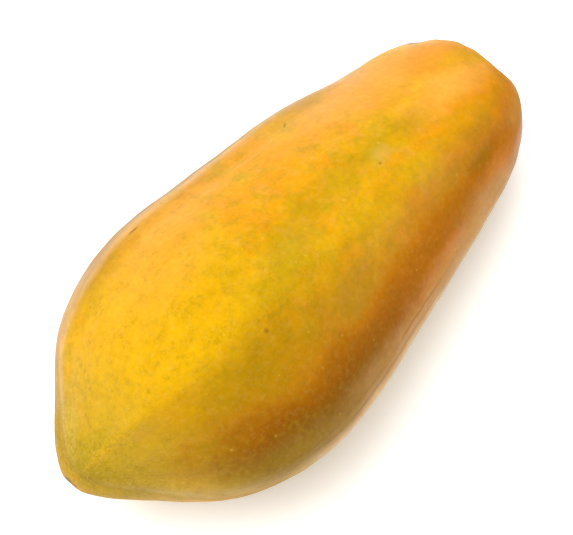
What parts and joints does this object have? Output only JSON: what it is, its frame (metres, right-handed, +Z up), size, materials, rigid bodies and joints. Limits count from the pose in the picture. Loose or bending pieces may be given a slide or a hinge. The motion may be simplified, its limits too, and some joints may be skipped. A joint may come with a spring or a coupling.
{
  "type": "papaya",
  "caption": "Whole ripe papaya lying on its side: long pear shape with soft ribs, a dry stem scar and a blunt blossom tip.",
  "frame": {"origin": "centre of the bounding box, at the surface the fruit lies on", "axes": "+X along the fruit toward the stem end, -X toward the blossom tip, +Z up"},
  "size_m": [0.2504, 0.1234, 0.1165],
  "materials": {
    "ripe_skin": "smooth waxy fruit skin with a satin sheen, golden yellow and orange with olive green patches"
  },
  "bodies": {
    "root": {"papaya_fruit": "ripe_skin"}
  },
  "joints": []
}
